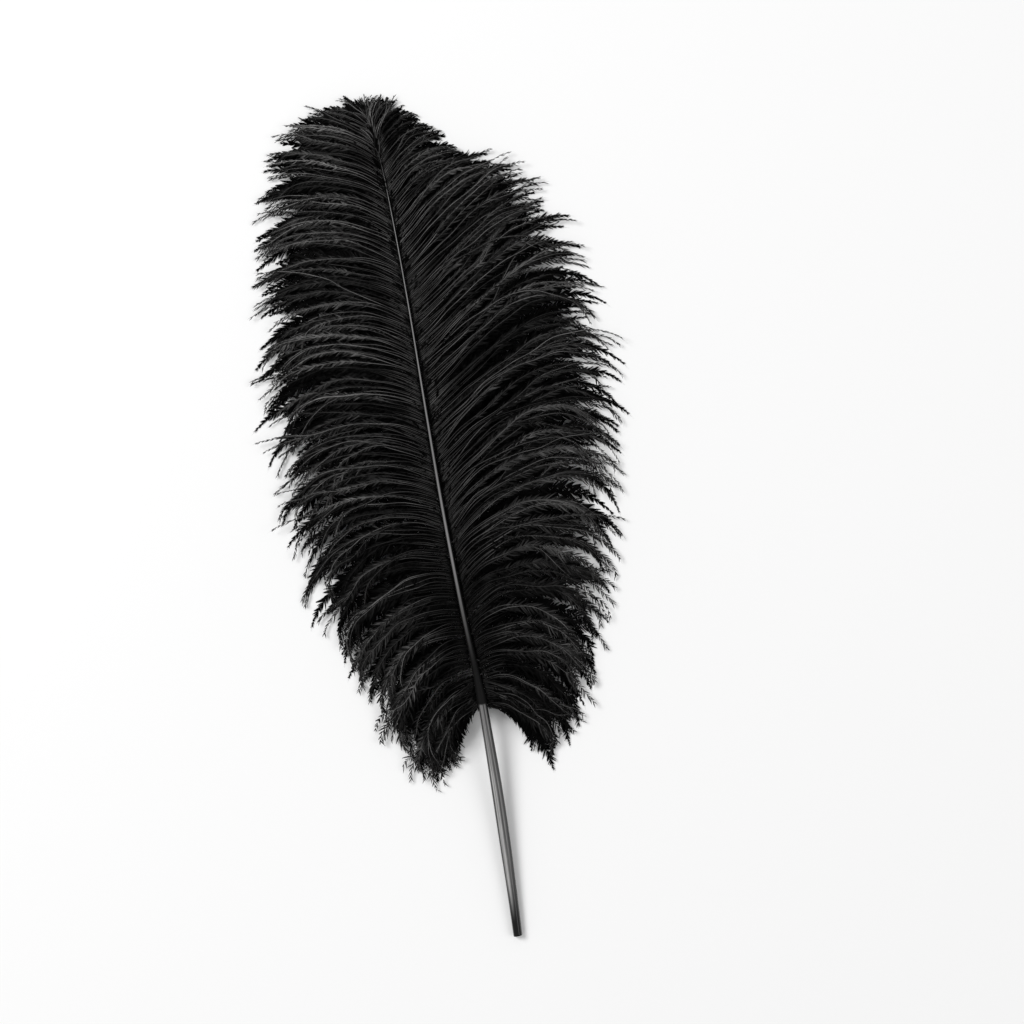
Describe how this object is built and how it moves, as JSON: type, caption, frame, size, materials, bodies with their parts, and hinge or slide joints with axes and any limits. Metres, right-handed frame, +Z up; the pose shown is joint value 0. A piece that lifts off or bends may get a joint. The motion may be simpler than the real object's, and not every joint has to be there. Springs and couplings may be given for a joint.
{
  "type": "ostrich feather",
  "caption": "Large dyed ostrich wing plume lying convex side up: a tapering horn shaft with a bare quill and a wide soft vane of drooping barbs on each side.",
  "frame": {"origin": "on the surface that the plume lies on, under the middle of its bounding box", "axes": "+Y runs from the cut end of the quill to the tip of the plume, +X is to the right as the convex side is seen, +Z is up"},
  "size_m": [0.2512, 0.6036, 0.0406],
  "materials": {
    "horn": "horn dyed black: satin grey with fine streaks along the bare quill, glossy black towards its cut end, and a narrow bright ridge along the rachis",
    "barbs": "soft black fibres with a faint grey satin sheen along each barb"
  },
  "bodies": {
    "root": {"shaft": "horn", "vane_left": "barbs", "vane_right": "barbs"}
  },
  "joints": []
}
